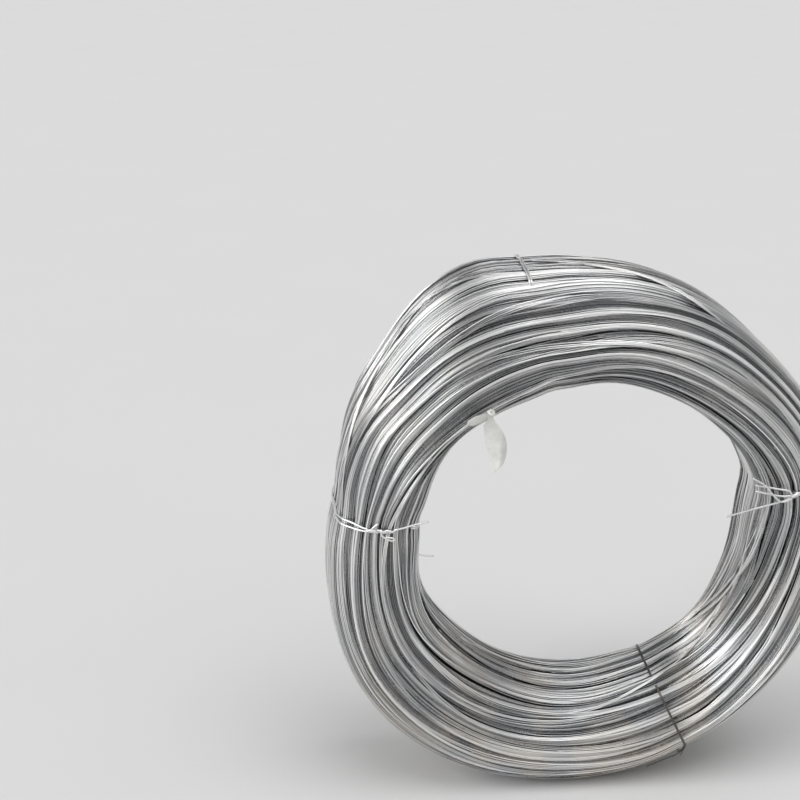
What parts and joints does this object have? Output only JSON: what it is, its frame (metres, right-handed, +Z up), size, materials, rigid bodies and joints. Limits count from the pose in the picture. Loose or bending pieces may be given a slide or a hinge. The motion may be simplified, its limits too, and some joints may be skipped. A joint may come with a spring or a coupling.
{
  "type": "coil of galvanized steel wire",
  "caption": "Round coil of galvanized steel wire standing on its rim, bundled by doubled wire ties with twisted ends, with a bare tag knotted at the bore.",
  "frame": {"origin": "middle of the bounding box at floor level, under the coil as it stands on its rim", "axes": "+Z up, +Y along the coil's axis from its front face to its rear face, +X to the right seen from the front"},
  "size_m": [0.6, 0.1612, 0.5999],
  "materials": {
    "galvanized_wire": "satin zinc coating",
    "tie_wire": "bright zinc coating",
    "tag": "matte"
  },
  "bodies": {
    "root": {"wire_coil": "galvanized_wire", "tie_wire_left": "tie_wire", "tie_wire_right": "tie_wire", "tie_wire_lower": "tie_wire", "tie_wire_upper": "tie_wire", "label_tag": "tag"}
  },
  "joints": []
}
